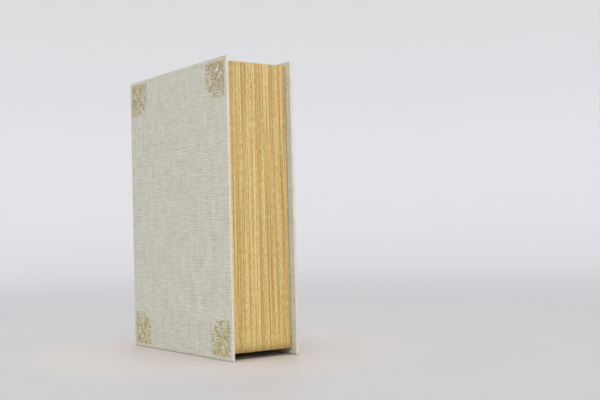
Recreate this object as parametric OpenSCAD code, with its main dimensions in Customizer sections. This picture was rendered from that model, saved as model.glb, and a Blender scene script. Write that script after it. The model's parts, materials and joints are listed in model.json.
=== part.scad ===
// Thick cloth-bound book with gilt page edges, standing upright on its tail.
// X runs from the spine (-X) to the fore-edge (+X), Y from the front cover (-Y) to the
// rear cover (+Y), Z from the tail to the head. The origin is the middle of the footprint.

/* [Book] */
// Height of the boards
book_h = 210; // [170:1:250]
// Width from the spine to the fore-edge of the covers
book_w = 147; // [120:1:180]
// Thickness over both covers
book_t = 55.8; // [50:0.2:62]

/* [Case] */
// Thickness of the greyboard in the covers
board_t = 1.6; // [1.4:0.1:2]
// Thickness of the covering cloth
cloth_t = 0.3; // [0.2:0.05:0.4]
// Width of the cloth turned in over the inside of the boards
turn_in = 15; // [10:1:20]
// Width of the open-weave lining flange glued inside each cover
mull_flange_w = 25; // [18:1:32]
// Thickness of the paste-down sheet
pastedown_t = 0.15; // [0.1:0.05:0.25]
// Cloth left showing around the paste-down
pastedown_margin = 6.5; // [3:0.5:8]

/* [Text block] */
// Distance the fore-edge of the pages sits behind the cover edge
fore_square = 5.5; // [3:0.1:7]
// Distance the pages stop below the head of the covers
head_square = 2.7; // [2:0.1:5]
// Distance the pages sit above the tail of the covers
tail_square = 4.6; // [3:0.1:6]
// Number of folded and sewn sections
section_count = 16; // [14:1:18]
// Gap between neighbouring sections
section_gap = 0.1; // [0.08:0.01:0.15]
// Thickness of one free leaf
leaf_t = 0.2; // [0.15:0.01:0.22]
// Width of the leaf margin that is glued or sewn in the gutter
gutter_w = 5; // [4.5:0.1:6]

/* [Spine] */
// Height of each linen sewing tape
tape_h = 12; // [8:1:16]
// Number of sewing tapes
tape_count = 4; // [3:1:5]
// Radius of the woven bead of the end bands
band_r = 1.1; // [0.8:0.05:1.3]
// Radius of the sewing thread
thread_r = 0.15; // [0.1:0.01:0.2]

/* [Ornament] */
// Side of each square corner ornament
corner_size = 26; // [18:0.5:30]
// Distance from the cover edges to the ornament
corner_inset = 2.3; // [2:0.1:6]
// Thickness of the gold foil
foil_t = 0.05; // [0.03:0.01:0.06]

/* [Hidden] */
// Node names of the folded sections, from the front to the rear
SECTIONS = [for (i = [1:section_count]) str("section_", i < 10 ? "0" : "", i)];
FRONT_LEAVES = ["front_flyleaf", "presentation_leaf", "title_leaf", "contents_leaf"];
REAR_LEAVES = ["rear_flyleaf", "map_leaf", "index_leaf", "notes_leaf"];

linen = [0.77, 0.75, 0.70];
gold = [0.70, 0.62, 0.40];
gilt = [0.80, 0.66, 0.38];
cream = [0.93, 0.90, 0.82];
grey = [0.60, 0.58, 0.55];
kraft = [0.70, 0.55, 0.38];

// Clearance between moving parts, between free leaves, and overlap of joined shapes
clear = 0.1;
leaf_gap = 0.05;
overlap = 1;
// Foil stays this far from the joint, so an opened cover lies back without touching it
foil_joint_gap = 0.8;

// Stations through the spine, from the outside in
spine_x = -book_w / 2;
spine_board_x = spine_x + cloth_t;
hollow_x = spine_board_x + board_t;
hollow_t = 0.8;
hollow_wall = 0.25;
mull_x = hollow_x + hollow_t;
mull_t = 0.2;
thread_x = mull_x + mull_t;
tape_t = 0.3;
spine_lip = 0.05;
tape_x = thread_x + 2 * thread_r;
fold_x = tape_x + tape_t;
hinge_x = hollow_x + clear;

// Stations through the front cover, from the outside in
cover_y = -book_t / 2;
board_y = cover_y + cloth_t;
turn_in_y = board_y + board_t;
pastedown_y = turn_in_y + cloth_t;
leaf_y = pastedown_y + pastedown_t + clear;
leaf_pitch = leaf_t + leaf_gap;
leaf_count = len(FRONT_LEAVES);
block_y = leaf_y + leaf_count * leaf_pitch;
section_pitch = -2 * block_y / section_count;
section_t = section_pitch - section_gap;

// Cover, page and leaf outlines
fore_x = book_w / 2;
page_x = fore_x - fore_square;
page_z = tail_square;
page_h = book_h - head_square - tail_square;
leaf_x = fold_x + gutter_w;
pastedown_x = fore_x - pastedown_margin;
infill_x = fore_x - turn_in;
band_flap_h = 8;
mull_end = 15;
kettle_inset = 12;
stitch_over = 1;

// Box given by its two opposite corners
module span(low, high) {
    translate(low) cube(high - low);
}

// ---- cover boards, written for the front cover and mirrored for the rear ----

module board() {
    color(grey)
        span([hinge_x, board_y, cloth_t], [fore_x - cloth_t, turn_in_y, book_h - cloth_t]);
}

// Outer sheet with its turned-in frame at head, tail and fore-edge
module cover_cloth() {
    color(linen) difference() {
        span([hinge_x, cover_y, 0], [fore_x, pastedown_y, book_h]);
        span([hinge_x - overlap, board_y, cloth_t],
             [fore_x - cloth_t, turn_in_y, book_h - cloth_t]);
        span([hinge_x - overlap, turn_in_y - overlap, turn_in],
             [infill_x, pastedown_y + overlap, book_h - turn_in]);
    }
}

// Card that levels the inside of the board with the turned-in cloth
module board_infill() {
    color(kraft)
        span([hinge_x + mull_flange_w, turn_in_y, turn_in],
             [infill_x, pastedown_y, book_h - turn_in]);
}

// Open-weave flange that joins the spine lining to the board
module mull_flange() {
    color(cream)
        span([hinge_x, turn_in_y, turn_in],
             [hinge_x + mull_flange_w, pastedown_y, book_h - turn_in]);
}

module pastedown() {
    color(cream)
        span([hinge_x, pastedown_y, pastedown_margin],
             [pastedown_x, pastedown_y + pastedown_t, book_h - pastedown_margin]);
}

// ---- gold corner ornaments ----

// Pointed leaf along +X made of two arcs
module leaf_shape(length, bow) {
    r = (length * length / 4 + bow * bow) / (2 * bow);
    intersection() {
        translate([length / 2, bow - r]) circle(r, $fn = 96);
        translate([length / 2, r - bow]) circle(r, $fn = 96);
    }
}

// Open ring
module ring(r, w) {
    difference() {
        circle(r, $fn = 48);
        circle(r - w, $fn = 48);
    }
}

// Generic scroll motif in a square with its outer corner at the origin
module corner_motif() {
    s = corner_size;
    w = 0.7;
    difference() {
        square(s);
        translate([w, w]) square(s - 2 * w);
    }
    rotate(45) translate([s * 0.12, 0]) leaf_shape(s * 1.1, s * 0.1);
    for (flip = [0, 1])
        mirror([flip, -flip]) {
            translate([s * 0.70, s * 0.27]) ring(s * 0.17, w * 1.3);
            translate([s * 0.70, s * 0.27]) circle(s * 0.06, $fn = 32);
            translate([s * 0.37, s * 0.13]) ring(s * 0.09, w);
            translate([s * 0.89, s * 0.54]) ring(s * 0.07, w);
            translate([s * 0.93, s * 0.08]) circle(s * 0.03, $fn = 24);
        }
}

module front_corner_foils() {
    low_x = max(hinge_x + foil_joint_gap, spine_x + corner_inset);
    high_x = fore_x - corner_inset;
    color(gold)
        for (x = [low_x, high_x], z = [corner_inset, book_h - corner_inset])
            translate([x, cover_y, z])
                mirror([x == high_x ? 1 : 0, 0, 0])
                    mirror([0, 0, z > book_h / 2 ? 1 : 0])
                        rotate([90, 0, 0])
                            linear_extrude(foil_t) corner_motif();
}

// ---- spine ----

module spine_board() {
    color(grey)
        span([spine_board_x, board_y, cloth_t], [hollow_x, -board_y, book_h - cloth_t]);
}

// Cloth over the spine board, turned in over its ends and its long edges
module spine_cloth() {
    cloth_end = hollow_x + spine_lip;
    color(linen) difference() {
        span([spine_x, cover_y, 0], [cloth_end, -cover_y, book_h]);
        span([spine_board_x, board_y, cloth_t],
             [cloth_end + overlap, -board_y, book_h - cloth_t]);
    }
}

// Flattened kraft tube between the spine board and the text block
module spine_hollow() {
    color(kraft) difference() {
        span([hollow_x, block_y, mull_end], [mull_x, -block_y, book_h - mull_end]);
        span([hollow_x + hollow_wall, block_y + hollow_wall, mull_end - overlap],
             [mull_x - hollow_wall, -block_y - hollow_wall, book_h - mull_end + overlap]);
    }
}

module spine_mull() {
    color(cream)
        span([mull_x, leaf_y, mull_end], [thread_x, -leaf_y, book_h - mull_end]);
}

// Middle height of one tape
function tape_z(i) =
    page_z + page_h * (i + 1) / (tape_count + 1);

module sewing_tapes() {
    color(cream)
        for (i = [0:tape_count - 1])
            span([tape_x, block_y, tape_z(i) - tape_h / 2],
                 [fold_x, -block_y, tape_z(i) + tape_h / 2]);
}

// Stitches over the tapes, one per section, and the two kettle-stitch chains
module sewing_threads() {
    stitch_h = tape_h + 2 * stitch_over;
    color("white") {
        for (i = [0:tape_count - 1], n = [0:section_count - 1])
            translate([thread_x + thread_r, section_y(n) + section_t / 2,
                       tape_z(i) - stitch_h / 2])
                cylinder(h = stitch_h, r = thread_r, $fn = 16);
        for (z = [page_z + kettle_inset, page_z + page_h - kettle_inset])
            translate([thread_x + thread_r, block_y, z])
                rotate([-90, 0, 0])
                    cylinder(h = -2 * block_y, r = thread_r, $fn = 16);
    }
}

// Woven end band written for the head: a flap on the folds and a bead over the pages
module end_band() {
    edge_z = page_z + page_h;
    bead_x = fold_x + band_r / 2;
    color("ivory") union() {
        span([fold_x - tape_t, leaf_y, edge_z - band_flap_h],
             [fold_x, -leaf_y, edge_z + band_r]);
        translate([bead_x, leaf_y, edge_z + band_r])
            rotate([-90, 0, 0])
                cylinder(h = -2 * leaf_y, r = band_r, $fn = 32);
    }
}

module head_band() {
    end_band();
}

module tail_band() {
    translate([0, 0, 2 * page_z + page_h]) mirror([0, 0, 1]) end_band();
}

// ---- leaves and sections ----

// Margin of the endpaper that is tipped down in the gutter
module endpaper_stub() {
    color(cream)
        span([fold_x, leaf_y, page_z], [leaf_x, leaf_y + leaf_t, page_z + page_h]);
}

// Free leaf, counted from the cover inwards
module free_leaf(n) {
    y = leaf_y + n * leaf_pitch;
    color(cream)
        span([leaf_x + leaf_gap, y, page_z], [page_x, y + leaf_t, page_z + page_h]);
}

// Front face of a section, counted from the front cover
function section_y(n) =
    block_y + n * section_pitch + section_gap / 2;

// Sewn section; the outermost one keeps the gutter margins of the free leaves
module section(n) {
    y = section_y(n);
    margin_y = leaf_y + leaf_t;
    color(gilt) union() {
        span([fold_x, y, page_z], [page_x, y + section_t, page_z + page_h]);
        if (n == 0)
            span([fold_x, margin_y, page_z], [leaf_x, y + overlap, page_z + page_h]);
        if (n == section_count - 1)
            span([fold_x, y + section_t - overlap, page_z],
                 [leaf_x, -margin_y, page_z + page_h]);
    }
}

module at_rear() {
    mirror([0, 1, 0]) children();
}

board();  // front_board
cover_cloth();  // front_cover_cloth
board_infill();  // front_board_infill
mull_flange();  // front_mull_flange
pastedown();  // front_pastedown
front_corner_foils();
at_rear() board();  // rear_board
at_rear() cover_cloth();  // rear_cover_cloth
at_rear() board_infill();  // rear_board_infill
at_rear() mull_flange();  // rear_mull_flange
at_rear() pastedown();  // rear_pastedown
spine_board();
spine_cloth();
spine_hollow();
spine_mull();
sewing_tapes();
sewing_threads();
head_band();
tail_band();
endpaper_stub();  // front_endpaper_stub
at_rear() endpaper_stub();  // rear_endpaper_stub
for (n = [0:leaf_count - 1])
    free_leaf(n);
for (n = [0:leaf_count - 1])
    at_rear() free_leaf(n);
for (n = [0:section_count - 1])
    section(n);
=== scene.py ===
"""Looks of the cloth-bound book: linen case, gold corner scrolls, gilt page edges, free leaves."""
import json
import math

import bmesh
import bpy
import numpy as np
from mathutils import Matrix, Vector
from mathutils.kdtree import KDTree


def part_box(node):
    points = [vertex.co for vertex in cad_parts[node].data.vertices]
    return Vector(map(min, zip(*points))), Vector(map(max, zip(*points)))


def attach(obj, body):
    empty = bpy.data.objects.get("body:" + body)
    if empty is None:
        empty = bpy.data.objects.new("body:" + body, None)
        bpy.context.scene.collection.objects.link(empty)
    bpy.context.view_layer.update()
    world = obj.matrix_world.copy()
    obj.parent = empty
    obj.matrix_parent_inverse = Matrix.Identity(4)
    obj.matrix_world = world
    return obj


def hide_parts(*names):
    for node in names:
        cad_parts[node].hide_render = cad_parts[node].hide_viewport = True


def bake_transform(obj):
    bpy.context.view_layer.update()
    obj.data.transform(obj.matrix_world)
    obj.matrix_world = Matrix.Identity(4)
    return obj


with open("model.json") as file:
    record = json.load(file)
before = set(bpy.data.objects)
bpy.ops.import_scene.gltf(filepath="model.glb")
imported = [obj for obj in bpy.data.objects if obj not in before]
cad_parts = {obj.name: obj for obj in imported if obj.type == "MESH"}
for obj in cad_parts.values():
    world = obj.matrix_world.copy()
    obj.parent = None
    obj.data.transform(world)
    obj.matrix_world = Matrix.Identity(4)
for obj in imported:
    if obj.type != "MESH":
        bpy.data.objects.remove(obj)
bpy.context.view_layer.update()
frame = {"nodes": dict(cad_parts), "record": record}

MM = 0.001
SLACK = 0.001 * MM           # allowance where two places are compared

# ---- places read from the frame, in metres ----
CLOTH_LOW, CLOTH_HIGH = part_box("front_cover_cloth")
SPINE_LOW, SPINE_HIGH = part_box("spine_cloth")
BOARD_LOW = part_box("front_board")[0]
INFILL_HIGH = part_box("front_board_infill")[1]
PASTE_LOW, PASTE_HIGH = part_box("front_pastedown")
STUB_LOW, STUB_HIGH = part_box("front_endpaper_stub")
FOIL_LOW, FOIL_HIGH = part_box("front_corner_foils")
PAGE_LOW, PAGE_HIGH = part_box("section_08")
HINGE_X = CLOTH_LOW.x
FOLD_X = STUB_LOW.x
LEAF_X = STUB_HIGH.x
CLOTH_T = BOARD_LOW.y - CLOTH_LOW.y
TURN_IN_W = CLOTH_HIGH.x - INFILL_HIGH.x

# ---- sizes of what is modelled here ----
WARP = 1.5 * MM              # pitch of the upright linen threads
WEFT = 1.75 * MM             # pitch of the level linen threads
WEAVE_RISE = 0.045 * MM      # half the height from a lower to an upper thread
GAP_DEPTH = 0.04 * MM        # depth of the gaps between the level threads
SLUB_RISE = 0.04 * MM        # extra height of the thick places in a thread
THREAD_DRIFT = 0.13          # how far a thread strays from its even place, in pitches
EDGE_RADIUS = 0.6 * MM       # rounding of the cloth over the board edges
ORNAMENT = 26 * MM           # side of each corner ornament
FOIL_RISE = 0.05 * MM        # crown of a gold line above the cloth
FOIL_SINK = 0.02 * MM        # how far stamping presses the cloth down under a gold line
FOIL_REACH = 0.5 * MM        # how far beside a line the cloth is pressed, then as far to recover
PRINT_MARGIN = 13 * MM       # margin round the printed columns
COLUMN_GAP = 4.4 * MM        # space between the two printed columns
LINE_PITCH = 3.1 * MM        # pitch of the printed lines
PAGE_LINES = 11              # page ridges on the edges of one section
PAGE_RIDGE = 0.05 * MM       # depth of those ridges
LEAF_RECESS = 0.15 * MM      # how far the free leaves stop short of the pages at the fore-edge
LEAF_BEND = 16 * MM          # width of the fine mesh beside the fold on a free leaf
SECTION_BEND = 14 * MM       # width of the fine mesh beside the fold on a sewn section
FINE_STOP = 0.5 * MM         # pitch of the fine mesh lines beside the fold
FLAT_STOP = 12 * MM          # the same over the flat part of a page
SECTION_ROW = 5 * MM         # pitch of the mesh rows up a section, then up a leaf
LEAF_ROW = 10 * MM
FOLD_PAPER = 0.06 * MM       # thickness of the endpaper fold across each joint
FOLD_CLEAR = 0.05 * MM       # where it starts past the joint, and how far it laps the folds
FOLD_LAP = 0.15 * MM
FOLD_STOP = 0.1 * MM         # pitch of its mesh lines
JOINT_CALM = 2 * MM          # width beside each joint where the weave fades out
EVEN_EDGE = 2 * MM           # width inside each rounded edge where threads keep their place
SECTION_GROW = 0.045 * MM    # how far a section fills the gap to its neighbour
BAND_PITCH = 0.9 * MM        # pitch of the silk turns round the end bands
BAND_SWELL = 0.12 * MM       # depth of the grooves between those turns
LINEN_HEAD_SHADE = 0.18            # share of painted shade at the head of the book, on each material, where the light falls brighter
GILT_HEAD_SHADE = 0.20
FOIL_HEAD_SHADE = 0.24
EDGE_DARKENING = 0.42             # share of darkening round the outer board edges
BACKDROP_FLAT = 0.6          # radius of the flat floor
BACKDROP_REACH = 1.5         # radius of the backdrop where its wall stands upright
BACKDROP_WALL = 0.8          # height of the upright wall

FRONT_LEAVES = ["front_flyleaf", "presentation_leaf", "title_leaf", "contents_leaf"]
REAR_LEAVES = ["rear_flyleaf", "map_leaf", "index_leaf", "notes_leaf"]
PRINTED_LEAVES = ["contents_leaf", "index_leaf"]
SECTIONS = [f"section_{n:02d}" for n in range(1, 17)]
WEAVE_SEEDS = {"front": 3, "rear": 8, "spine": 5}


def srgb(red, green, blue):
    """Linear colour of an sRGB colour given in 0 to 255."""
    def linear(c):
        c /= 255
        return c / 12.92 if c <= 0.04045 else ((c + 0.055) / 1.055) ** 2.4
    return (linear(red), linear(green), linear(blue), 1.0)


# ---------------------------------------------------------------- materials

class Surface:
    """A material with a Principled shader and short calls that add nodes before it."""

    def __init__(self, name, roughness=0.7, metallic=0.0, specular=0.5, sheen=0.0):
        self.material = bpy.data.materials.new(name)
        self.material.use_nodes = True
        self.tree = self.material.node_tree
        self.shader = self.tree.nodes["Principled BSDF"]
        constants = {"Roughness": roughness, "Metallic": metallic,
                     "Specular IOR Level": specular, "Sheen Weight": sheen}
        for socket, value in constants.items():
            self.shader.inputs[socket].default_value = value

    def feed(self, socket, value):
        if isinstance(value, bpy.types.NodeSocket):
            self.tree.links.new(value, socket)
        else:
            socket.default_value = value

    def node(self, kind, inputs, **settings):
        made = self.tree.nodes.new(kind)
        for key, value in settings.items():
            setattr(made, key, value)
        for key, value in inputs.items():
            self.feed(made.inputs[key], value)
        return made

    def math(self, operation, a, b=0.0):
        return self.node("ShaderNodeMath", {0: a, 1: b}, operation=operation).outputs[0]

    def unit(self, wave):
        """A wave from -1 to 1, moved to 0 to 1."""
        return self.math("MULTIPLY", self.math("ADD", wave, 1.0), 0.5)

    def wave(self, shape, count):
        """Sine or cosine that passes one half turn for each whole count."""
        return self.math(shape, self.math("MULTIPLY", count, math.pi))

    def uv(self, name):
        return self.node("ShaderNodeUVMap", {}, uv_map=name).outputs["UV"]

    def place(self):
        return self.node("ShaderNodeTexCoord", {}).outputs["Object"]

    def scaled(self, vector, scale):
        return self.node("ShaderNodeVectorMath", {0: vector, 1: scale},
                         operation="MULTIPLY").outputs[0]

    def moved(self, vector, offset):
        return self.node("ShaderNodeVectorMath", {0: vector, 1: offset},
                         operation="ADD").outputs[0]

    def split(self, vector):
        return self.node("ShaderNodeSeparateXYZ", {0: vector}).outputs

    def noise(self, vector, scale=1.0, detail=2.0, rough=0.5):
        return self.node("ShaderNodeTexNoise", {
            "Vector": vector, "Scale": scale, "Detail": detail,
            "Roughness": rough}).outputs["Fac"]

    def ramp(self, value, stops):
        """Colour or grey ramp; stops are (position, colour or grey number)."""
        made = self.node("ShaderNodeValToRGB", {"Fac": value})
        points = made.color_ramp.elements
        while len(points) < len(stops):
            points.new(0.5)
        for point, (at, tone) in zip(points, stops):
            grey = isinstance(tone, (int, float))
            point.position = at
            point.color = (tone, tone, tone, 1) if grey else tone
        return made.outputs["Color"]

    def mix(self, share, a, b):
        """Colour mix: a at share 0, b at share 1."""
        colour_a, colour_b, result = 6, 7, 2
        made = self.node("ShaderNodeMix", {0: share, colour_a: a, colour_b: b},
                         data_type="RGBA")
        return made.outputs[result]

    def bump(self, height, distance, strength=1.0):
        return self.node("ShaderNodeBump", {"Height": height, "Distance": distance,
                                            "Strength": strength}).outputs["Normal"]

    def finish(self, colour=None, roughness=None, normal=None):
        fed = {"Base Color": colour, "Roughness": roughness, "Normal": normal}
        for socket, value in fed.items():
            if value is not None:
                self.feed(self.shader.inputs[socket], value)
        return self.material


def painted_head_shade(s, most):
    """Share of painted shade: none at the foot of the book, most at its head, where the light
    falls brighter.
    """
    z = s.split(s.place())[2]
    height = s.math("DIVIDE", s.math("SUBTRACT", z, CLOTH_LOW.z), CLOTH_HIGH.z - CLOTH_LOW.z)
    return s.ramp(height, [(0.0, 0.0), (1.0, most)])


def darker_outer_edges(s):
    """Share of darkening: none on the flat cloth, most round the outer board edges."""
    x, _, z = s.split(s.place())
    middle_z = (CLOTH_LOW.z + CLOTH_HIGH.z) / 2
    off_middle = s.math("ABSOLUTE", s.math("SUBTRACT", z, middle_z))
    past_side = s.math("SUBTRACT", x, CLOTH_HIGH.x - 2 * EDGE_RADIUS)
    past_end = s.math("SUBTRACT", off_middle, CLOTH_HIGH.z - middle_z - 2 * EDGE_RADIUS)
    past = s.math("DIVIDE", s.math("MAXIMUM", past_side, past_end), 2 * EDGE_RADIUS)
    return s.ramp(past, [(0.2, 0.0), (0.9, EDGE_DARKENING)])


def linen_material():
    """Undyed plain-weave linen with thick and thin threads; the map counts threads.
    The tone changes from thread to thread and slowly along each; the gaps are darker."""
    s = Surface("slubbed_linen", roughness=0.85, specular=0.25, sheen=0.2)
    threads = s.uv("weave")
    across, along = s.split(threads)[0], s.split(threads)[1]
    upright = s.noise(s.scaled(threads, (0.95, 0.06, 0)), 1.0, 2.0, 0.65)
    level = s.noise(s.moved(s.scaled(threads, (0.16, 0.95, 0)), (7.3, 3.1, 0)), 1.0, 2.0, 0.65)
    warp = s.ramp(upright, [(0.32, srgb(184, 181, 165)), (0.50, srgb(223, 221, 207)),
                            (0.70, srgb(248, 247, 236))])
    weft = s.ramp(level, [(0.30, srgb(186, 184, 167)), (0.50, srgb(222, 220, 206)),
                          (0.70, srgb(250, 249, 239))])
    crossing = s.math("MULTIPLY", s.wave("COSINE", across), s.wave("COSINE", along))
    woven = s.mix(s.unit(crossing), weft, warp)
    cloud = s.noise(threads, 0.09, 3.0, 0.6)
    tint = s.ramp(cloud, [(0.38, srgb(216, 208, 197)), (0.62, srgb(209, 213, 197))])
    tinted = s.mix(0.35, woven, tint)
    row_gap = s.math("POWER", s.math("ABSOLUTE", s.wave("SINE", along)), 4.0)
    column_gap = s.math("POWER", s.math("ABSOLUTE", s.wave("SINE", across)), 4.0)
    open_weave = s.ramp(s.noise(threads, 0.14, 3.0, 0.6), [(0.38, 0.68), (0.62, 1.0)])
    gap = s.math("MULTIPLY", open_weave,
                 s.math("MAXIMUM", row_gap, s.math("MULTIPLY", column_gap, 0.9)))
    woven_tone = s.mix(s.math("MULTIPLY", gap, 0.56), tinted, srgb(152, 148, 128))
    # painted shade towards the head of the book, together with the darker outer board edges
    head_shade_and_dark_edges = s.math("MAXIMUM", darker_outer_edges(s), painted_head_shade(s, LINEN_HEAD_SHADE))
    colour = s.mix(head_shade_and_dark_edges, woven_tone, srgb(178, 172, 154))
    fibre = s.noise(s.scaled(threads, (8.0, 8.0, 0)), 1.0, 3.0, 0.7)
    height = s.math("ADD", s.math("MULTIPLY", s.math("ADD", upright, level), 0.6),
                    s.math("SUBTRACT", s.math("MULTIPLY", fibre, 0.3),
                           s.math("MULTIPLY", gap, 0.4)))
    return s.finish(colour, normal=s.bump(height, 0.25 * MM, 0.8))


def gilt_material():
    """Matt gilding over the page ends; the map holds place across and along the leaves."""
    s = Surface("gilt_page_edges", metallic=0.15, specular=0.4)
    leaves = s.uv("leaves")
    bend = s.noise(s.scaled(leaves, (150, 6, 0)), 1.0, 2.0)
    wave = s.math("MULTIPLY", s.math("SUBTRACT", bend, 0.5), 0.08 * MM)
    shifted = s.node("ShaderNodeCombineXYZ", {
        0: s.math("ADD", s.split(leaves)[0], wave), 1: s.split(leaves)[1]}).outputs[0]
    bands = s.noise(s.scaled(shifted, (330, 2, 0)), 1.0, 2.0, 0.6)
    streaks = s.noise(s.scaled(shifted, (1400, 7, 0)), 1.0, 2.0, 0.65)
    leaf_lines = s.noise(s.scaled(shifted, (2600, 260, 0)), 1.0, 2.0, 0.7)
    tone = s.math("ADD", s.math("MULTIPLY", bands, 0.20),
                  s.math("ADD", s.math("MULTIPLY", streaks, 0.46),
                         s.math("MULTIPLY", leaf_lines, 0.34)))
    colour = s.ramp(tone, [(0.395, srgb(116, 85, 36)), (0.455, srgb(155, 124, 65)),
                           (0.508, srgb(185, 158, 98)), (0.562, srgb(208, 189, 133)),
                           (0.628, srgb(229, 218, 170))])
    hue = s.noise(s.scaled(shifted, (700, 30, 0)), 1.0, 2.0, 0.6)
    warm = s.ramp(hue, [(0.40, srgb(198, 140, 78)), (0.60, srgb(178, 171, 98))])
    seams = s.noise(s.moved(s.scaled(shifted, (1900, 6, 0)), (3.7, 0, 0)), 1.0, 1.0)
    seam = s.ramp(seams, [(0.26, 0.55), (0.36, 0.0)])
    from_middle = s.math("DIVIDE", s.math("ABSOLUTE", s.split(leaves)[0]), -STUB_LOW.y)
    # painted shade: a dark line on the outermost leaves, where the pages meet the covers
    painted_gap_shade = s.ramp(from_middle, [(0.975, 0.0), (0.995, 0.7)])
    clean = s.mix(0.27, colour, warm)
    # painted shade: the gilt is darker towards the head of the book
    head_shaded = s.mix(painted_head_shade(s, GILT_HEAD_SHADE), clean, srgb(120, 96, 60))
    # random dark seams, together with the painted shade beside the covers
    seams_and_gap_shade = s.mix(s.math("MAXIMUM", seam, painted_gap_shade), head_shaded, srgb(104, 74, 36))
    worn = s.noise(s.scaled(leaves, (900, 60, 0)), 1.0, 4.0, 0.7)
    roughness = s.ramp(worn, [(0.3, 0.42), (0.7, 0.68)])
    return s.finish(seams_and_gap_shade, roughness, s.bump(tone, 0.12 * MM, 0.8))


def printed_words(s, sheet):
    """Share of ink: two columns of lines, each broken into words and uneven letters."""
    x, z = s.split(sheet)[0], s.split(sheet)[1]
    middle_x, half_x = (PAGE_LOW.x + PAGE_HIGH.x) / 2, (PAGE_HIGH.x - PAGE_LOW.x) / 2
    middle_z, half_z = (PAGE_LOW.z + PAGE_HIGH.z) / 2, (PAGE_HIGH.z - PAGE_LOW.z) / 2
    off_x = s.math("ABSOLUTE", s.math("SUBTRACT", x, middle_x))
    off_z = s.math("ABSOLUTE", s.math("SUBTRACT", z, middle_z))
    column = s.math("MULTIPLY", s.math("GREATER_THAN", off_x, COLUMN_GAP / 2),
                    s.math("LESS_THAN", off_x, half_x - PRINT_MARGIN))
    printed = s.math("MULTIPLY", column, s.math("LESS_THAN", off_z, half_z - PRINT_MARGIN))
    line = s.math("DIVIDE", z, LINE_PITCH)
    row = s.math("FLOOR", line)
    height = s.math("ABSOLUTE", s.math("SUBTRACT", s.math("SUBTRACT", line, row), 0.5))
    in_line = s.ramp(height, [(0.20, 1.0), (0.26, 0.0)])
    place = s.node("ShaderNodeCombineXYZ", {0: x, 1: s.math("MULTIPLY", row, 3.7)}).outputs[0]
    words = s.ramp(s.noise(s.scaled(place, (330, 1, 0)), 1.0, 1.0), [(0.40, 0.0), (0.43, 1.0)])
    letters = s.ramp(s.noise(s.scaled(place, (1500, 1, 0)), 1.0, 1.0), [(0.3, 0.45), (0.7, 1.0)])
    return s.math("MULTIPLY", s.math("MULTIPLY", printed, in_line),
                  s.math("MULTIPLY", words, letters))


def paper_material(name, light, dark, fleck, printed=False):
    """Uncoated sheet with soft mottling and fibres, and with lines of text if printed."""
    s = Surface(name, roughness=0.82, specular=0.3)
    sheet = s.uv("sheet")
    mottle = s.noise(sheet, 400.0, 4.0, 0.7)
    fibre = s.noise(s.scaled(sheet, (2400, 900, 0)), 1.0, 2.0, 0.6)
    base = s.mix(s.ramp(mottle, [(0.35, 0.0), (0.7, 0.7)]), light, dark)
    colour = s.mix(s.ramp(fibre, [(0.62, 0.0), (0.75, 0.5)]), base, fleck)
    if printed:
        ink = s.math("MULTIPLY", printed_words(s, sheet), 0.75)
        colour = s.mix(ink, colour, srgb(74, 68, 64))
    roughness = s.ramp(fibre, [(0.3, 0.75), (0.7, 0.9)])
    return s.finish(colour, roughness, s.bump(fibre, 0.02 * MM, 0.5))


def pasted_paper_material():
    """Endpaper pasted flat on the boards, mapped by place."""
    s = Surface("pasted_endpaper", roughness=0.82, specular=0.3)
    place = s.place()
    mottle = s.noise(place, 55.0, 3.0, 0.6)
    fibre = s.noise(s.scaled(place, (2400, 900, 900)), 1.0, 2.0, 0.6)
    colour = s.mix(s.ramp(mottle, [(0.35, 0.0), (0.7, 1.0)]), srgb(232, 222, 198),
                   srgb(222, 209, 180))
    return s.finish(colour, s.ramp(fibre, [(0.3, 0.75), (0.7, 0.9)]),
                    s.bump(fibre, 0.02 * MM, 0.5))


def foil_material():
    """Pale gold stamping foil, broken where the coarse cloth below let it miss."""
    s = Surface("stamped_gold_foil", metallic=0.25, specular=0.5)
    place = s.place()
    grain = s.noise(s.scaled(place, (1500, 1500, 1500)), 1.0, 3.0, 0.7)
    patch = s.ramp(s.noise(place, 420.0, 3.0, 0.6), [(0.38, 0.0), (0.62, 1.0)])
    gold = s.mix(patch, srgb(160, 144, 86), srgb(223, 207, 142))
    missed = s.mix(s.ramp(grain, [(0.50, 0.0), (0.68, 0.9)]), gold, srgb(214, 207, 180))
    # painted shade: the foil is darker towards the head of the book
    colour = s.mix(painted_head_shade(s, FOIL_HEAD_SHADE), missed, srgb(128, 118, 90))
    roughness = s.ramp(grain, [(0.35, 0.34), (0.7, 0.7)])
    return s.finish(colour, roughness, s.bump(grain, 0.05 * MM, 0.7))


def fibre_material(name, light, dark, scale, roughness=0.9):
    """Board or kraft paper: pressed fibres with darker specks, by place."""
    s = Surface(name, roughness=roughness, specular=0.25)
    place = s.place()
    fibre = s.noise(s.scaled(place, (scale, scale, scale * 0.3)), 1.0, 5.0, 0.7)
    speck = s.noise(place, scale * 2.2, 1.0)
    base = s.mix(s.ramp(fibre, [(0.35, 0.0), (0.65, 1.0)]), dark, light)
    colour = s.mix(s.ramp(speck, [(0.66, 0.0), (0.72, 0.6)]), base, srgb(70, 62, 54))
    return s.finish(colour, s.ramp(fibre, [(0.3, roughness - 0.08), (0.7, roughness)]),
                    s.bump(fibre, 0.06 * MM, 0.7))


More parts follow.
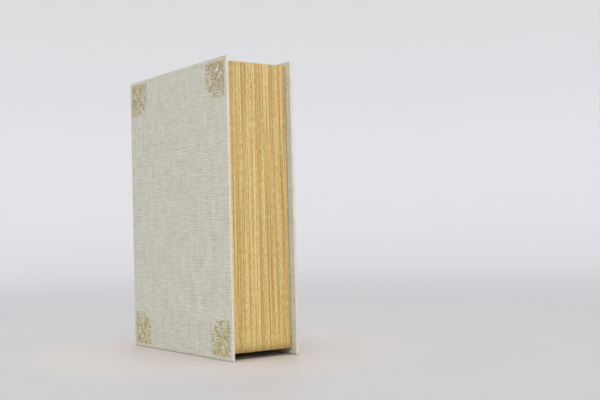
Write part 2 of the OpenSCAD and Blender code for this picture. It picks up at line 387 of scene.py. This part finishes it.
def woven_material(name, light, dark, pitch):
    """Small plain weave of tape, thread or lining cloth on upright faces, by place."""
    s = Surface(name, roughness=0.9, specular=0.2, sheen=0.2)
    place = s.place()
    parts = s.split(place)
    turns = math.pi / pitch
    level = s.math("SINE", s.math("MULTIPLY", s.math("ADD", parts[0], parts[1]), turns))
    upright = s.math("SINE", s.math("MULTIPLY", parts[2], turns))
    weave = s.math("MULTIPLY", level, upright)
    height = s.math("ABSOLUTE", weave)
    uneven = s.noise(place, 700.0, 3.0)
    colour = s.mix(s.ramp(height, [(0.0, 0.0), (0.6, 1.0)]), dark, light)
    colour = s.mix(s.math("MULTIPLY", uneven, 0.4), colour, light)
    return s.finish(colour, s.ramp(uneven, [(0.3, 0.8), (0.7, 0.95)]),
                    s.bump(weave, 0.1 * MM, 0.8))


def silk_material():
    """Wound silk of the end bands: turns of ivory and old gold in a regular stripe."""
    s = Surface("wound_silk", roughness=0.45, specular=0.5, sheen=0.3)
    place = s.place()
    stripe = s.math("SINE", s.math("MULTIPLY", s.split(place)[1], math.pi / BAND_PITCH / 2))
    strand = s.noise(s.scaled(place, (900, 9000, 900)), 1.0, 2.0)
    colour = s.mix(s.ramp(s.unit(stripe), [(0.46, 0.0), (0.54, 1.0)]),
                   srgb(226, 216, 190), srgb(176, 140, 74))
    shaded = s.mix(s.math("MULTIPLY", strand, 0.35), colour, srgb(120, 96, 56))
    return s.finish(shaded, s.ramp(strand, [(0.3, 0.38), (0.7, 0.6)]),
                    s.bump(strand, 0.05 * MM, 0.6))


def backdrop_material():
    """Smooth pale paper sweep, toned by radius with painted light: painted shade greys it where it
    lies as the floor, and a painted warm pool of bounced light lies next to the book.
    """
    s = Surface("pale_backdrop_painted_light", roughness=0.5, specular=0.3)
    cloud = s.noise(s.place(), 1.5, 2.0)
    flat_place = s.scaled(s.place(), (1 / BACKDROP_REACH, 1 / BACKDROP_REACH, 0))
    reach = s.node("ShaderNodeVectorMath", {0: flat_place}, operation="LENGTH").outputs["Value"]
    # painted light: the warm pale stop next to the book stands in for light bounced off the gilt
    # and lifts the book's shadow; the greyer floor and the dimmer top of the wall are painted
    # shade
    tone = s.ramp(s.math("ADD", reach, s.math("MULTIPLY", cloud, 0.01)), [
        (0.06, srgb(212, 207, 202)), (0.12, srgb(199, 198, 198)), (0.34, srgb(199, 199, 200)),
        (0.48, srgb(206, 206, 208)), (0.56, srgb(219, 219, 221)), (0.68, srgb(227, 227, 230)),
        (0.82, srgb(231, 230, 234)), (0.97, srgb(224, 224, 224))])
    return s.finish(tone)


# ---------------------------------------------------------------- mesh building

def new_piece(name, points, faces, materials, choice=None):
    """A smooth mesh object from points and faces; choice gives each face's material."""
    mesh = bpy.data.meshes.new(name)
    mesh.from_pydata([tuple(p) for p in points], [], faces)
    for material in materials:
        mesh.materials.append(material)
    if choice is not None:
        mesh.polygons.foreach_set("material_index", choice)
    mesh.polygons.foreach_set("use_smooth", [True] * len(mesh.polygons))
    piece = bpy.data.objects.new(name, mesh)
    bpy.context.scene.collection.objects.link(piece)
    return piece


def add_map(piece, name, corners):
    """UV map of that name from one (u, v) for each face corner."""
    layer = piece.data.uv_layers.new(name=name)
    layer.data.foreach_set("uv", np.array(corners, np.float32).ravel())


def steps(low, high, pitch):
    """Evenly spaced stops from low to high, about pitch apart."""
    count = max(1, round((high - low) / pitch))
    return [low + (high - low) * i / count for i in range(count + 1)]


def stop_point(stops, key):
    """The point where the stops of the three axes meet at a lattice key."""
    return Vector([stops[axis][key[axis]] for axis in range(3)])


def lattice_faces(stops, keep):
    """Outward faces of a box whose surface is cut at the stops of each axis: for each,
    the lattice keys of its four corners, and the axis and the sign of its direction."""
    counts = [len(s) - 1 for s in stops]
    faces = []
    for axis in range(3):
        a, b = (axis + 1) % 3, (axis + 2) % 3
        for sign, level in ((-1, 0), (1, counts[axis])):
            for i in range(counts[a]):
                for j in range(counts[b]):
                    ring = []
                    for di, dj in ((0, 0), (1, 0), (1, 1), (0, 1)):
                        key = [0, 0, 0]
                        key[axis], key[a], key[b] = level, i + di, j + dj
                        ring.append(tuple(key))
                    if sign < 0:
                        ring.reverse()
                    middle = [(stops[k][ring[0][k]] + stops[k][ring[2][k]]) / 2
                              for k in range(3)]
                    if keep(axis, sign, middle):
                        faces.append((ring, axis, sign))
    return faces


def lattice_piece(name, stops, materials, place=None, keep=None, pick=None):
    """A box-like piece on a lattice. place(key) moves its vertices off the stops, keep says
    which faces it has, and pick(axis) gives the number of a face's material.
    Returns the piece, and each face's keys, axis and sign for its maps."""
    faces = lattice_faces(stops, keep or (lambda axis, sign, middle: True))
    index, points, rings = {}, [], []
    for ring, _, _ in faces:
        for key in ring:
            if key not in index:
                index[key] = len(points)
                points.append(place(key) if place else stop_point(stops, key))
        rings.append([index[key] for key in ring])
    choice = [pick(axis) for _, axis, _ in faces] if pick else None
    return new_piece(name, points, rings, materials, choice), faces


def rounded_stops(low, high, pitch, round_low, round_high):
    """Stops a pitch apart, with three short steps over each rounded edge.
    Gives the stops and the number of the first one past the lower edge."""
    start = low + EDGE_RADIUS if round_low else low
    end = high - EDGE_RADIUS if round_high else high
    shares = (0.0, 0.35, 0.7)
    before = [low + EDGE_RADIUS * s for s in shares] if round_low else []
    after = [high - EDGE_RADIUS * s for s in reversed(shares)] if round_high else []
    return before + steps(start, end, pitch) + after, len(before)


def thread_waves(rng, threads, length, span):
    """A smooth random wave along each of some threads, with a knot every span stops."""
    knots = rng.normal(0, 1, (threads, length // span + 3))
    at = np.arange(length) / span
    low = at.astype(int)
    share = (1 - np.cos(np.pi * (at - low))) / 2
    return knots[:, low] * (1 - share) + knots[:, low + 1] * share


def slub_field(rng, columns, rows):
    """Height of the thick places along every warp and weft thread of a cloth."""
    def slubs(threads, length):
        swell = np.clip(thread_waves(rng, threads, length, 10), -0.6, 2.2)
        return swell * rng.uniform(0.3, 1.2, (threads, 1))

    return (slubs(columns, rows) + slubs(rows, columns).T) * SLUB_RISE * 0.5


def drift_field(rng, threads, length):
    """How far each thread strays sideways, in pitches: a steady part and a slow wave."""
    steady = rng.normal(0, 0.6, (threads, 1))
    return np.clip(steady + 0.6 * thread_waves(rng, threads, length, 14), -1, 1) * THREAD_DRIFT


def cloth_skin(name, low, high, materials, rounded, keep, seed, pressed=None):
    """Linen folded over a board: a rounded box skin with woven relief, thickened inwards.
    rounded says which ends of X, Y and Z are rounded; pressed(point) flattens the weave.
    The lattice has one stop for each warp thread, and two for each weft thread."""
    pitches = (WARP, WARP, WEFT / 2)
    stops, firsts = zip(*[rounded_stops(low[a], high[a], pitches[a], *rounded[a])
                          for a in range(3)])
    columns, rows = len(stops[0]) + len(stops[1]), len(stops[2])
    rng = np.random.default_rng(seed)
    slubs = slub_field(rng, columns, rows)
    aside = drift_field(rng, columns, rows)
    updown = drift_field(rng, rows, columns).T
    core_low = [low[a] + EDGE_RADIUS * rounded[a][0] for a in range(3)]
    core_high = [high[a] - EDGE_RADIUS * rounded[a][1] for a in range(3)]

    def weave_rise(key):
        column, row = key[0] + key[1], key[2] - firsts[2]
        if row % 2:
            return -GAP_DEPTH
        return (1 if (column + row // 2) % 2 else -1) * WEAVE_RISE + slubs[column, key[2]]

    def calm(point):
        """Share of the relief that is left: none beside the joint, where cloth meets cloth."""
        return min(1.0, max(0.0, abs(point.x - HINGE_X) / JOINT_CALM - 0.25))

    def place(key):
        point = stop_point(stops, key)
        core = Vector([min(max(point[a], core_low[a]), core_high[a]) for a in range(3)])
        outward = (point - core).normalized()
        column = key[0] + key[1]
        for axis, drift in ((0, aside[column, key[2]] * WARP),
                            (2, updown[column, key[2]] * WEFT)):
            if core_low[axis] + EVEN_EDGE < point[axis] < core_high[axis] - EVEN_EDGE:
                core[axis] += drift
        rise = weave_rise(key) * calm(point)
        if pressed is not None and outward.y < -0.9:
            rise = pressed(point, rise)
        return core + outward * (EDGE_RADIUS + rise)

    piece, faces = lattice_piece(name, stops, materials, place, keep)
    corners = []
    for ring, axis, _ in faces:
        first, second = ((1, 2), (0, 2), (0, 1))[axis]
        corners += [(thread_count(key, first, firsts), thread_count(key, second, firsts))
                    for key in ring]
    add_map(piece, "weave", corners)
    shell = piece.modifiers.new("cloth_thickness", "SOLIDIFY")
    shell.thickness = CLOTH_T
    shell.offset = -1
    return piece


def thread_count(key, axis, firsts):
    """Place of a lattice stop in threads from the first one; Z has two stops a thread."""
    return (key[axis] - firsts[axis]) / (2 if axis == 2 else 1)


# ---------------------------------------------------------------- case

def stroke_rise(strokes):
    """A function that presses the weave down under the gold lines of the ornaments."""
    samples = [p for line, _ in strokes for p in line]
    tree = KDTree(len(samples))
    for i, (x, z) in enumerate(samples):
        tree.insert((x, 0, z), i)
    tree.balance()

    def pressed(point, rise):
        near = tree.find((point.x, 0, point.z))[2]
        share = min(1.0, max(0.0, near / FOIL_REACH - 1))
        return rise * share - (1 - share) * FOIL_SINK

    return pressed


def make_cover(side, linen, pressed):
    """Linen of one cover, from the joint round the head, tail and fore-edge."""
    low, high = CLOTH_LOW.copy(), CLOTH_HIGH.copy()
    outer = -1
    if side == "rear":
        low.y, high.y = -CLOTH_HIGH.y, -CLOTH_LOW.y
        outer = 1
    window_x = high.x - TURN_IN_W
    window_low, window_high = low.z + TURN_IN_W, high.z - TURN_IN_W

    def keep(axis, sign, middle):
        if axis == 0 and sign < 0:
            return False
        inside = axis == 1 and sign == -outer
        in_window = middle[0] < window_x and window_low < middle[2] < window_high
        return not (inside and in_window)

    rounded = [(False, True), (True, True), (True, True)]
    piece = cloth_skin(f"{side}_cover_linen", low, high, [linen], rounded, keep,
                       seed=WEAVE_SEEDS[side], pressed=pressed)
    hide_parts(f"{side}_cover_cloth")
    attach(piece, f"{side}_cover")


def make_spine(linen):
    """Linen over the spine board, open on the side that faces the pages."""
    def keep(axis, sign, middle):
        return not (axis == 0 and sign > 0)

    rounded = [(True, False), (True, True), (True, True)]
    piece = cloth_skin("spine_linen", SPINE_LOW, SPINE_HIGH, [linen], rounded, keep,
                       seed=WEAVE_SEEDS["spine"])
    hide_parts("spine_cloth")
    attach(piece, "text_block")


# ---------------------------------------------------------------- gold ornaments

def spiral(centre, radius, start, turns, end_share=0.22, count=40):
    """Points of a spiral that winds inwards round centre; start and turns in turns."""
    points = []
    for i in range(count + 1):
        t = i / count
        r = radius * (1 - (1 - end_share) * t)
        angle = 2 * math.pi * (start + turns * t)
        points.append((centre[0] + r * math.cos(angle), centre[1] + r * math.sin(angle)))
    return points


def curve(a, b, bow, count=14):
    """Points from a to b on a bow; bow is its height over half the chord."""
    ax, ay = a
    dx, dy = b[0] - ax, b[1] - ay
    return [(ax + dx * t - dy * bow * math.sin(math.pi * t) / 2,
             ay + dy * t + dx * bow * math.sin(math.pi * t) / 2)
            for t in (i / count for i in range(count + 1))]


def garland(a, b, waves, swing, count=60):
    """Points from a to b along a line that waves to both sides."""
    dx, dy = b[0] - a[0], b[1] - a[1]
    length = math.hypot(dx, dy)
    points = []
    for i in range(count + 1):
        t = i / count
        side = swing * math.sin(2 * math.pi * waves * t) / length
        points.append((a[0] + dx * t - dy * side, a[1] + dy * t + dx * side))
    return points


def taper(points, thick, thin):
    """Half widths that fall from thick to thin along a line."""
    last = len(points) - 1
    return [thick + (thin - thick) * i / last for i in range(last + 1)]


def leaf_widths(points, width):
    """Half widths of a pointed leaf."""
    last = len(points) - 1
    return [max(0.004, width * math.sin(math.pi * (i / last) ** 0.8)) for i in range(last + 1)]


def toward(start, degrees, length):
    """Point at a length and direction from start."""
    angle = math.radians(degrees)
    return (start[0] + length * math.cos(angle), start[1] + length * math.sin(angle))


def corner_strokes():
    """Lines of one ornament in a unit square whose outer corner is at 0, 0.
    Each is its points and its half widths; one half is drawn and the other mirrored."""
    scroll_eye = (0.63, 0.335)
    scrolls = [(spiral(scroll_eye, 0.180, 0.60, 1.9, 0.15), 0.024, 0.016),
               (spiral((0.895, 0.135), 0.080, 0.45, 1.3), 0.021, 0.015),
               (spiral((0.895, 0.540), 0.085, 0.85, -1.3), 0.021, 0.015),
               (spiral((0.440, 0.120), 0.065, 0.25, -1.3), 0.020, 0.015),
               (spiral((0.765, 0.680), 0.070, 0.10, 1.3), 0.020, 0.015),
               (garland((0.03, 0.045), (0.98, 0.045), 5, 0.022), 0.019, 0.016),
               (curve((0.50, 0.055), (0.86, 0.225), -0.35), 0.021, 0.015),
               (curve((0.18, 0.085), (0.36, 0.075), 0.30), 0.017, 0.014),
               (curve((0.82, 0.420), (0.97, 0.300), 0.35), 0.019, 0.014)]
    strokes = [(line, taper(line, thick, thin)) for line, thick, thin in scrolls]
    leaves = []
    for turn in range(11):
        angle = 360 * turn / 11 + 12
        root = toward(scroll_eye, angle, 0.205)
        leaves.append((root, toward(root, angle + 40, 0.085), 0.30, 0.023))
    for degrees, length in ((9, 0.17), (21, 0.24), (34, 0.22)):
        root = toward((0.03, 0.03), degrees, 0.13)
        leaves.append((root, toward(root, degrees, length), 0.10, 0.024))
    for degrees, length in ((12, 0.20), (29, 0.24)):
        root = toward((0.49, 0.49), degrees, 0.09)
        leaves.append((root, toward(root, degrees, length), 0.18, 0.022))
    for x in (0.58, 0.66, 0.74):
        leaves.append(((x, 0.055), (x + 0.05, 0.13), -0.25, 0.020))
    for y in (0.24, 0.40, 0.64):
        leaves.append(((0.985, y), (0.92, y + 0.05), 0.25, 0.018))
    for a, b, bow, width in leaves:
        line = curve(a, b, bow, 8)
        strokes.append((line, leaf_widths(line, width)))
    for x, y, r in ((0.63, 0.335, 0.026), (0.26, 0.19, 0.016), (0.90, 0.68, 0.016),
                    (0.985, 0.74, 0.014), (0.50, 0.40, 0.015), (0.985, 0.14, 0.014)):
        line = curve((x - r, y), (x + r, y), 0.0, 6)
        strokes.append((line, [r * math.sqrt(max(0.04, 1 - (i / 3 - 1) ** 2))
                               for i in range(7)]))
    mirrored = [([(y, x) for x, y in line], widths) for line, widths in strokes]
    vein = curve((0.10, 0.10), (0.84, 0.84), 0.0, 24)
    bud = curve((0.03, 0.03), (0.15, 0.15), 0.0, 8)
    alone = [(vein, leaf_widths(vein, 0.029)), (bud, leaf_widths(bud, 0.040))]
    for reach, bow, width in ((0.62, 0.30, 0.020), (0.70, 0.33, 0.015)):
        ribbon = curve((0.02, reach), (reach, 0.02), bow, 20)
        alone.append((ribbon, [width] * len(ribbon)))
    return strokes + mirrored + alone


def placed_strokes():
    """The strokes of the four corners in X and Z, in metres, with their half widths."""
    placed = []
    for right in (False, True):
        for top in (False, True):
            x0, x_way = (FOIL_HIGH.x, -1) if right else (FOIL_LOW.x, 1)
            z0, z_way = (FOIL_HIGH.z, -1) if top else (FOIL_LOW.z, 1)
            for line, widths in corner_strokes():
                placed.append(([(x0 + x_way * x * ORNAMENT, z0 + z_way * z * ORNAMENT)
                                for x, z in line], [w * ORNAMENT for w in widths]))
    return placed


def make_foils(strokes, foil):
    """Gold lines with a low crown, closed below the face of the cloth."""
    face_y = CLOTH_LOW.y
    points, faces = [], []
    for line, widths in strokes:
        start = len(points)
        last = len(line) - 1
        for i, ((x, z), width) in enumerate(zip(line, widths)):
            ahead, behind = line[min(i + 1, last)], line[max(i - 1, 0)]
            way = Vector((ahead[0] - behind[0], ahead[1] - behind[1])).normalized()
            aside = Vector((-way.y, way.x)) * width
            points += [(x + aside.x, face_y, z + aside.y), (x, face_y - FOIL_RISE, z),
                       (x - aside.x, face_y, z - aside.y), (x, face_y + FOIL_RISE, z)]
        for i in range(last):
            a = start + 4 * i
            faces += [(a + k, a + (k + 1) % 4, a + 4 + (k + 1) % 4, a + 4 + k)
                      for k in range(4)]
        end = start + 4 * last
        faces += [tuple(start + k for k in (3, 2, 1, 0)), tuple(end + k for k in range(4))]
    piece = new_piece("front_corner_scrolls", points, faces, [foil])
    mend_normals(piece)
    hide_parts("front_corner_foils")
    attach(piece, "front_cover")


def mend_normals(piece):
    """Turns every face of a piece outwards."""
    work = bmesh.new()
    work.from_mesh(piece.data)
    bmesh.ops.recalc_face_normals(work, faces=work.faces)
    work.to_mesh(piece.data)
    work.free()


# ---------------------------------------------------------------- pages

def page_maps(piece, faces, stops):
    """Map across the leaves for the edges and map over the sheet for the flat faces."""
    leaves, sheet = [], []
    for ring, axis, _ in faces:
        for key in ring:
            x, y, z = stop_point(stops, key)
            leaves.append((y, z if axis == 0 else x))
            sheet.append((x, z))
    add_map(piece, "leaves", leaves)
    add_map(piece, "sheet", sheet)


def paper_or_edge(axis):
    """Number of a page face's material: 1, its paper, across Y and 0, its gilding, elsewhere."""
    return 1 if axis == 1 else 0


def gutter_stops(low, high, fine, pitch):
    """Stops that are fine over the gutter and wide over the flat page."""
    bend_end = low + fine
    return steps(low, bend_end, pitch) + steps(bend_end, high, FLAT_STOP)[1:]


def make_section(n, gilt, paper):
    """One sewn section with gilt page ridges on its edges and paper on its broad faces."""
    name = SECTIONS[n]
    low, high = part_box(name)
    rng = np.random.default_rng(100 + n)
    front_margin, rear_margin = n == 0, n == len(SECTIONS) - 1
    pitch = PAGE_HIGH.y - PAGE_LOW.y
    face_low = high.y - pitch if front_margin else low.y
    face_high = low.y + pitch if rear_margin else high.y
    y_stops = steps(face_low - SECTION_GROW, face_high + SECTION_GROW, pitch / PAGE_LINES)
    bend, bend_stop = SECTION_BEND, 2 * FINE_STOP
    if front_margin or rear_margin:
        bend, bend_stop = LEAF_X - FOLD_X, FINE_STOP
    x_stops = gutter_stops(FOLD_X, high.x, bend, bend_stop)
    z_stops = steps(low.z, high.z, SECTION_ROW)
    stops = [x_stops, y_stops, z_stops]
    ends = [len(s) - 1 for s in stops]
    ridge = rng.uniform(0, PAGE_RIDGE, len(y_stops)) + rng.uniform(0, PAGE_RIDGE)
    drift = rng.normal(0, 0.12 * PAGE_RIDGE, (len(y_stops), len(z_stops))).cumsum(1)

    def place(key):
        point = stop_point(stops, key)
        depth = ridge[key[1]] + abs(drift[key[1], key[2]])
        if key[0] == ends[0]:
            point.x -= depth
        if key[2] == ends[2]:
            point.z -= depth
        if key[2] == 0:
            point.z += depth
        in_margin = point.x <= LEAF_X + SLACK
        if front_margin and in_margin and key[1] == 0:
            point.y = low.y
        if rear_margin and in_margin and key[1] == ends[1]:
            point.y = high.y
        return point

    piece, faces = lattice_piece(f"{name}_pages", stops, [gilt, paper], place,
                                 pick=paper_or_edge)
    page_maps(piece, faces, stops)
    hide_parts(name)
    body = piece_body(name)
    if body == "text_block":
        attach(piece, body)
    else:
        bend_over_gutter(piece, "text_block", body, FOLD_X, bend)


def piece_body(node):
    """The body that a CAD node is in."""
    bodies = frame["record"]["behaviour"]["bodies"]
    return next(body for body, nodes in bodies.items() if node in nodes)


def bend_over_gutter(piece, still, moving, start_x, width):
    """Bakes the placement of a page piece into its mesh, which stays flat."""
    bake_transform(piece)


def make_sheet(name, low, high, still, moving, bend, materials, nodes):
    """A thin sheet: one free leaf or one glued-down margin, with a fine mesh beside its gutter."""
    if high.x - low.x > bend:
        x_stops = gutter_stops(low.x, high.x, bend, FINE_STOP)
    else:
        x_stops = steps(low.x, high.x, FINE_STOP)
    stops = [x_stops, [low.y, high.y], steps(low.z, high.z, LEAF_ROW)]

    piece, faces = lattice_piece(name, stops, materials, pick=paper_or_edge)
    page_maps(piece, faces, stops)
    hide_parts(*nodes)
    bend_over_gutter(piece, still, moving, low.x, bend)


def make_leaves(gilt, paper, text_paper, endpaper):
    """Free leaves of both sides and the endpaper margins that are tipped down in the gutter."""
    for side, names, outer_section in (("front", FRONT_LEAVES, SECTIONS[0]),
                                       ("rear", REAR_LEAVES, SECTIONS[-1])):
        stub = f"{side}_endpaper_stub"
        low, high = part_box(stub)
        make_sheet(f"{side}_endpaper_margin", low, high, "text_block", outer_section,
                   high.x - low.x, [gilt, endpaper], [stub])
        for name in names:
            low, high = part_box(name)
            low.x = LEAF_X
            high.x -= LEAF_RECESS
            face = text_paper if name in PRINTED_LEAVES else paper
            if name.endswith("flyleaf"):
                face = endpaper
            make_sheet(f"{name}_sheet", low, high, outer_section, name, LEAF_BEND,
                       [gilt, face], [name])


def make_inner_hinges(endpaper):
    """Endpaper fold that crosses each joint from the paste-down to the tipped margin."""
    path_low, path_high = HINGE_X + FOLD_CLEAR, FOLD_X + FOLD_LAP
    gap_y = (PASTE_HIGH.y + STUB_LOW.y) / 2
    for side, way in (("front", 1), ("rear", -1)):
        ys = sorted([way * (gap_y - FOLD_PAPER / 2), way * (gap_y + FOLD_PAPER / 2)])
        stops = [steps(path_low, path_high, FOLD_STOP), ys,
                 steps(PASTE_LOW.z, PASTE_HIGH.z, LEAF_ROW)]
        piece, faces = lattice_piece(f"{side}_endpaper_fold", stops, [endpaper])
        page_maps(piece, faces, stops)
        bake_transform(piece)


# ---------------------------------------------------------------- end bands

def make_end_band(name, silk):
    """Silk wound round a cord: a ribbed bead over the pages and a flap down the folds."""
    low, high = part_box(name)
    # a quarter of the bead's width lies behind the folds
    radius = (high.x - FOLD_X) * 2 / 3
    at_head = name == "head_band"
    centre_x = high.x - radius
    centre_z = (high.z - radius) if at_head else (low.z + radius)
    ring, rings = 20, round((high.y - low.y) / (BAND_PITCH / 6))
    points, faces = [], []
    for i in range(rings + 1):
        y = low.y + (high.y - low.y) * i / rings
        swell = BAND_SWELL * (abs(math.sin(math.pi * y / BAND_PITCH)) - 1)
        for k in range(ring):
            angle = 2 * math.pi * k / ring
            points.append((centre_x + (radius + swell) * math.cos(angle), y,
                           centre_z + (radius + swell) * math.sin(angle)))
    for i in range(rings):
        for k in range(ring):
            a, b = i * ring + k, i * ring + (k + 1) % ring
            faces.append((a, b, b + ring, a + ring))
    faces += [tuple(range(ring)), tuple(range(rings * ring, (rings + 1) * ring))]
    flap_low = Vector((low.x, low.y, low.z if at_head else centre_z))
    flap_high = Vector((FOLD_X, high.y, centre_z if at_head else high.z))
    start = len(points)
    points += [(x, y, z) for x in (flap_low.x, flap_high.x)
               for y in (flap_low.y, flap_high.y) for z in (flap_low.z, flap_high.z)]
    faces += [tuple(start + k for k in quad) for quad in
              ((0, 1, 3, 2), (4, 6, 7, 5), (0, 4, 5, 1), (2, 3, 7, 6), (0, 2, 6, 4),
               (1, 5, 7, 3))]
    piece = new_piece(f"{name}_silk", points, faces, [silk])
    mend_normals(piece)
    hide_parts(name)
    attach(piece, "text_block")


# ---------------------------------------------------------------- CAD nodes that stay

def dress_cad_nodes(dressing):
    """Gives every CAD node that stays its own material."""
    for material, names in dressing:
        for name in names:
            for slot in frame["nodes"][name].material_slots:
                slot.material = material


# ---------------------------------------------------------------- stage

def make_backdrop(material):
    """Round pale floor that sweeps up into a wall, the same from every side."""
    sweep = BACKDROP_REACH - BACKDROP_FLAT
    ring, flat_rings, sweep_rings = 96, 8, 12
    profile = [(BACKDROP_FLAT * i / flat_rings, 0.0) for i in range(1, flat_rings + 1)]
    for i in range(1, sweep_rings + 1):
        angle = math.pi / 2 * i / sweep_rings
        profile.append((BACKDROP_FLAT + sweep * math.sin(angle), sweep * (1 - math.cos(angle))))
    profile.append((BACKDROP_REACH, sweep + BACKDROP_WALL))
    points, faces = [(0, 0, 0)], []
    for r, z in profile:
        points += [(r * math.cos(2 * math.pi * k / ring), r * math.sin(2 * math.pi * k / ring), z)
                   for k in range(ring)]
    for k in range(ring):
        faces.append((0, 1 + k, 1 + (k + 1) % ring))
    for i in range(len(profile) - 1):
        for k in range(ring):
            a, b = 1 + i * ring + k, 1 + i * ring + (k + 1) % ring
            faces.append((a, a + ring, b + ring, b))
    floor = new_piece("pale_floor", points, faces, [material])
    return floor


def make_light(name, at, target, size, power, tint):
    """A round area light that faces the target and isn't seen itself."""
    lamp = bpy.data.lights.new(name, "AREA")
    lamp.shape, lamp.size, lamp.energy, lamp.color = "DISK", size, power, tint
    light = bpy.data.objects.new(name, lamp)
    light.location = at
    light.visible_camera = False
    light.rotation_mode = "QUATERNION"
    light.rotation_quaternion = (Vector(target) - Vector(at)).to_track_quat("-Z", "Y")
    bpy.context.scene.collection.objects.link(light)
    return light


def flag_off(lights, floor):
    """Keeps some lights off the backdrop, as a studio flag does."""
    flagged = bpy.data.collections.new("flagged_backdrop")
    flagged.objects.link(floor)
    flagged.collection_objects[0].light_linking.link_state = "EXCLUDE"
    for light in lights:
        light.light_linking.receiver_collection = flagged


def make_lights(floor):
    """Even daylight from above, a window on the fore-edge side and a fill on the front.
    The two low lights would burn out the backdrop near them, so they are kept off it."""
    world = bpy.data.worlds.new("soft_daylight")
    world.use_nodes = True
    sky = world.node_tree.nodes["Background"]
    sky.inputs["Color"].default_value = (0.93, 0.95, 1.0, 1)
    sky.inputs["Strength"].default_value = 0.67
    bpy.context.scene.world = world
    middle = (0, 0, 0.1)
    make_light("overhead", (0.1, -0.1, 1.9), middle, 1.6, 18.3, (1.0, 0.98, 0.97))
    window = make_light("window", (1.2, 0.1, 0.3), middle, 0.6, 13.9, (1.0, 0.98, 0.96))
    fill = make_light("room_fill", (0.62, -1.18, 0.24), middle, 0.6, 16.5, (0.97, 0.98, 1.0))
    flag_off([window, fill], floor)


def make_camera():
    """Camera a hand above the table, looking slightly up at the fore-edge corner."""
    place = Vector((0.6359, -0.3765, 0.0872))
    heading, rise, roll = (math.radians(a) for a in (144.01, 1.888, -1.458))
    forward = Vector((math.cos(rise) * math.cos(heading),
                      math.cos(rise) * math.sin(heading), math.sin(rise)))
    level = Vector((math.sin(heading), -math.cos(heading), 0))
    upright = level.cross(forward)
    right = level * math.cos(roll) + upright * math.sin(roll)
    up = upright * math.cos(roll) - level * math.sin(roll)
    data = bpy.data.cameras.new("camera")
    data.sensor_width, data.lens = 36, 58.08
    data.clip_start, data.clip_end = 0.02, 20
    camera = bpy.data.objects.new("camera", data)
    camera.matrix_world = Matrix.Translation(place) @ Matrix(
        (right, up, -forward)).transposed().to_4x4()
    bpy.context.scene.collection.objects.link(camera)
    bpy.context.scene.camera = camera


# ---------------------------------------------------------------- build

def main():
    bpy.context.scene.view_settings.view_transform = "Standard"
    make_camera()
    make_lights(make_backdrop(backdrop_material()))

    linen, gilt, foil = linen_material(), gilt_material(), foil_material()
    page_tones = (srgb(238, 230, 208), srgb(228, 217, 190), srgb(206, 192, 160))
    paper = paper_material("bible_paper", *page_tones)
    text_paper = paper_material("printed_bible_paper", *page_tones, printed=True)
    endpaper = paper_material("endpaper", srgb(232, 222, 198), srgb(222, 209, 180),
                              srgb(196, 178, 140))
    board = fibre_material("millboard", srgb(150, 144, 134), srgb(112, 106, 98), 900)
    kraft = fibre_material("kraft_paper", srgb(178, 142, 98), srgb(148, 112, 72), 700)
    mull = woven_material("mull_cloth", srgb(232, 226, 206), srgb(176, 166, 140), 0.8 * MM)
    tape = woven_material("linen_tape", srgb(226, 216, 192), srgb(168, 154, 122), 0.5 * MM)
    thread = woven_material("waxed_thread", srgb(236, 230, 212), srgb(186, 176, 150), 0.4 * MM)
    silk = silk_material()

    strokes = placed_strokes()
    make_foils(strokes, foil)
    make_cover("front", linen, stroke_rise(strokes))
    make_cover("rear", linen, None)
    make_spine(linen)
    for n in range(len(SECTIONS)):
        make_section(n, gilt, text_paper)
    make_leaves(gilt, paper, text_paper, endpaper)
    make_inner_hinges(endpaper)
    for name in ("head_band", "tail_band"):
        make_end_band(name, silk)
    dress_cad_nodes([
        (board, ["front_board", "rear_board", "spine_board"]),
        (kraft, ["spine_hollow", "front_board_infill", "rear_board_infill"]),
        (mull, ["spine_mull", "front_mull_flange", "rear_mull_flange"]),
        (tape, ["sewing_tapes"]),
        (thread, ["sewing_threads"]),
        (pasted_paper_material(), ["front_pastedown", "rear_pastedown"])])


main()
